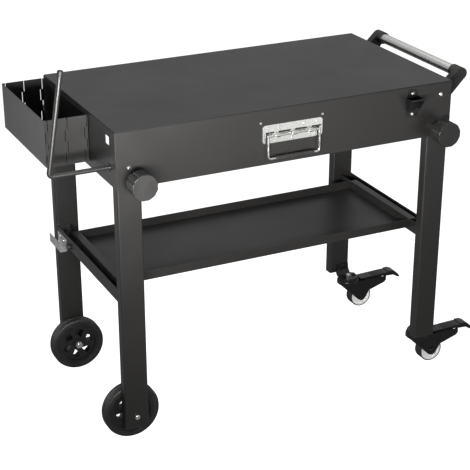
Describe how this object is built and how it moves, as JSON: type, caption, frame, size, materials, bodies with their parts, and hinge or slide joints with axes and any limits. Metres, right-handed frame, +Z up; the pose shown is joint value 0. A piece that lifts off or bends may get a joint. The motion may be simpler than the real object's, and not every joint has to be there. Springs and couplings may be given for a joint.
{
  "type": "folding grill cart",
  "caption": "Folding grill cart: steel box top with push handle, end caddy, hook rod, bottle opener, lift-off shelf, fixed wheels and braked swivel casters.",
  "frame": {"origin": "on the floor, below the middle of the whole cart's bounding box", "axes": "+X towards the push handle and casters, -Y the front with the drop handle, +Z up"},
  "size_m": [1.2764, 0.67, 1.0248],
  "materials": {
    "top_paint": "satin charcoal powder coat",
    "frame_paint": "satin charcoal powder coat",
    "black_steel": "satin black coat",
    "zinc": "bright zinc plate",
    "chrome": "bright chrome plate",
    "satin_steel": "satin steel",
    "knob_plastic": "matte black moulded plastic",
    "cap_plastic": "matte black moulded plastic",
    "hub_plastic": "matte dark grey moulded plastic",
    "core_plastic": "matte pale grey moulded plastic",
    "tyre_rubber": "matte black solid tyre",
    "tread_rubber": "matte black tread",
    "grip_rubber": "matte black sleeve"
  },
  "bodies": {
    "frame": {"top_plate": "top_paint", "top_stiffeners": "frame_paint", "front_apron": "frame_paint", "rear_apron": "frame_paint", "left_end_panel": "frame_paint", "left_end_front": "frame_paint", "right_end_panel": "frame_paint", "leg_front_left": "frame_paint", "leg_rear_left": "frame_paint", "leg_front_right": "frame_paint", "leg_rear_right": "frame_paint", "leg_plugs": "cap_plastic", "pivot_bolts": "chrome", "pivot_nuts": "satin_steel", "knob_inserts": "satin_steel", "axle_bolts": "chrome", "axle_nuts": "chrome", "caster_brackets": "black_steel", "caster_bracket_bolts": "black_steel", "caster_mounts": "black_steel", "caster_kingpins": "satin_steel", "rail_left": "frame_paint", "rail_right": "frame_paint", "rail_bolts": "black_steel", "rail_bracket": "zinc", "rail_bracket_screws": "chrome", "rail_catch": "cap_plastic", "towel_rod": "frame_paint", "towel_rod_cap": "cap_plastic", "towel_rod_nuts": "black_steel", "handle_arms": "cap_plastic", "handle_grip": "satin_steel", "handle_screws": "satin_steel", "bail_plate": "chrome", "bail_rivets": "chrome", "apron_rivets": "satin_steel", "opener": "black_steel", "opener_screws": "chrome"},
    "wheel_front": {"tyre_front": "tyre_rubber", "wheel_hub_front": "hub_plastic"},
    "wheel_rear": {"tyre_rear": "tyre_rubber", "wheel_hub_rear": "hub_plastic"},
    "knob_fl": {"knob_front_left": "knob_plastic"},
    "knob_rl": {"knob_rear_left": "knob_plastic"},
    "knob_fr": {"knob_front_right": "knob_plastic"},
    "knob_rr": {"knob_rear_right": "knob_plastic"},
    "caster_front": {"caster_fork_front": "black_steel", "caster_pins_front": "black_steel"},
    "caster_rear": {"caster_fork_rear": "black_steel", "caster_pins_rear": "black_steel"},
    "caster_wheel_front": {"caster_tread_front": "tread_rubber", "caster_core_front": "core_plastic"},
    "caster_wheel_rear": {"caster_tread_rear": "tread_rubber", "caster_core_rear": "core_plastic"},
    "pedal_front": {"brake_pedal_front": "black_steel"},
    "pedal_rear": {"brake_pedal_rear": "black_steel"},
    "shelf": {"shelf_tray": "frame_paint"},
    "caddy": {"caddy": "frame_paint"},
    "bail": {"bail": "chrome", "bail_grip": "grip_rubber"}
  },
  "joints": [
    {"name": "wheel_spin_front", "type": "hinge", "parent": "frame", "child": "wheel_front", "pos_m": [-0.44604, -0.2089, 0.077], "axis": [0, 1, 0], "continuous": true},
    {"name": "wheel_spin_rear", "type": "hinge", "parent": "frame", "child": "wheel_rear", "pos_m": [-0.44604, 0.2089, 0.077], "axis": [0, 1, 0], "continuous": true},
    {"name": "caster_swivel_front", "type": "hinge", "parent": "frame", "child": "caster_front", "pos_m": [0.45596, -0.2007, 0.091], "axis": [0, 0, 1], "continuous": true},
    {"name": "caster_wheel_spin_front", "type": "hinge", "parent": "caster_front", "child": "caster_wheel_front", "pos_m": [0.49696, -0.2007, 0.0355], "axis": [0, 1, 0], "continuous": true},
    {"name": "brake_pedal_front", "type": "hinge", "parent": "caster_front", "child": "pedal_front", "pos_m": [0.52956, -0.2007, 0.0767], "axis": [0, 1, 0], "range_deg": [0, 8]},
    {"name": "caster_swivel_rear", "type": "hinge", "parent": "frame", "child": "caster_rear", "pos_m": [0.45596, 0.2007, 0.091], "axis": [0, 0, 1], "continuous": true},
    {"name": "caster_wheel_spin_rear", "type": "hinge", "parent": "caster_rear", "child": "caster_wheel_rear", "pos_m": [0.49696, 0.2007, 0.0355], "axis": [0, 1, 0], "continuous": true},
    {"name": "brake_pedal_rear", "type": "hinge", "parent": "caster_rear", "child": "pedal_rear", "pos_m": [0.52956, 0.2007, 0.0767], "axis": [0, 1, 0], "range_deg": [0, 8]},
    {"name": "knob_turn_fl", "type": "hinge", "parent": "frame", "child": "knob_fl", "pos_m": [-0.43384, -0.313, 0.746], "axis": [0, 1, 0], "continuous": true},
    {"name": "knob_turn_rl", "type": "hinge", "parent": "frame", "child": "knob_rl", "pos_m": [-0.43384, 0.313, 0.746], "axis": [0, 1, 0], "continuous": true},
    {"name": "knob_turn_fr", "type": "hinge", "parent": "frame", "child": "knob_fr", "pos_m": [0.42756, -0.313, 0.746], "axis": [0, 1, 0], "continuous": true},
    {"name": "knob_turn_rr", "type": "hinge", "parent": "frame", "child": "knob_rr", "pos_m": [0.42756, 0.313, 0.746], "axis": [0, 1, 0], "continuous": true},
    {"name": "bail_swing", "type": "hinge", "parent": "frame", "child": "bail", "pos_m": [-0.00184, -0.273, 0.8], "axis": [-1, 0, 0], "range_deg": [0, 90]},
    {"name": "shelf_lift", "type": "slide", "parent": "frame", "child": "shelf", "axis": [0, 0, 1], "range_m": [0, 0.08]},
    {"name": "caddy_lift", "type": "slide", "parent": "frame", "child": "caddy", "axis": [0, 0, 1], "range_m": [0, 0.018]}
  ]
}
